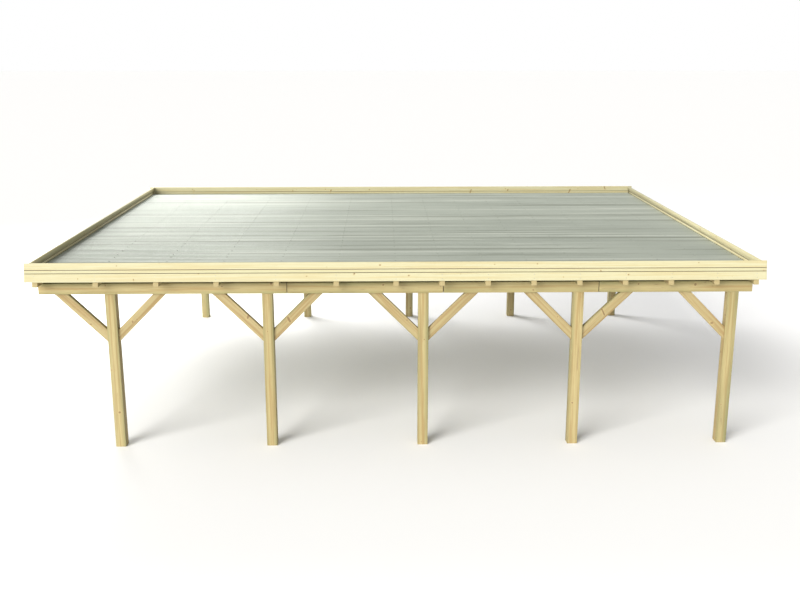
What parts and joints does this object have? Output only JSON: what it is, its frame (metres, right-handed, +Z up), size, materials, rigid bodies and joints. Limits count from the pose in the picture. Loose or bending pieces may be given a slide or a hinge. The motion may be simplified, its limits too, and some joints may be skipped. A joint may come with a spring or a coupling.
{
  "type": "timber double carport",
  "caption": "Open flat-roofed timber carport: rows of braced posts carry purlins and cross rafters under a corrugated sheet roof inside a leaning grooved-board fascia.",
  "frame": {"origin": "middle of the plan at ground level, under the centre of the roof", "axes": "+X along the purlins and the roof's corrugations, -Y is the front, +Z up"},
  "size_m": [8.277, 6.204, 2.2455],
  "materials": {
    "post_timber": "planed, pressure-treated pine",
    "frame_timber": "planed, pressure-treated pine",
    "rafter_timber": "planed, pressure-treated pine",
    "fascia_board": "planed spruce boards with a groove above the joint between them",
    "roof_sheet": "corrugated, satin coated",
    "fixing_steel": "zinc-plated screws and washers"
  },
  "bodies": {
    "root": {"front_post_1": "post_timber", "front_post_2": "post_timber", "front_post_3": "post_timber", "front_post_4": "post_timber", "front_post_5": "post_timber", "rear_post_1": "post_timber", "rear_post_2": "post_timber", "rear_post_3": "post_timber", "rear_post_4": "post_timber", "rear_post_5": "post_timber", "front_braces": "frame_timber", "rear_braces": "frame_timber", "front_purlin": "frame_timber", "rear_purlin": "frame_timber", "rafter_1": "rafter_timber", "rafter_2": "rafter_timber", "rafter_3": "rafter_timber", "rafter_4": "rafter_timber", "rafter_5": "rafter_timber", "rafter_6": "rafter_timber", "rafter_7": "rafter_timber", "rafter_8": "rafter_timber", "rafter_9": "rafter_timber", "rafter_10": "rafter_timber", "rafter_11": "rafter_timber", "rafter_12": "rafter_timber", "rafter_13": "rafter_timber", "rafter_14": "rafter_timber", "rafter_15": "rafter_timber", "front_fascia": "fascia_board", "rear_fascia": "fascia_board", "left_fascia": "fascia_board", "right_fascia": "fascia_board", "left_wedges": "frame_timber", "right_wedges": "frame_timber", "roof_sheet_1": "roof_sheet", "roof_sheet_2": "roof_sheet", "roof_sheet_3": "roof_sheet", "roof_sheet_4": "roof_sheet", "roof_sheet_5": "roof_sheet", "roof_sheet_6": "roof_sheet", "roof_sheet_7": "roof_sheet"}
  },
  "joints": []
}
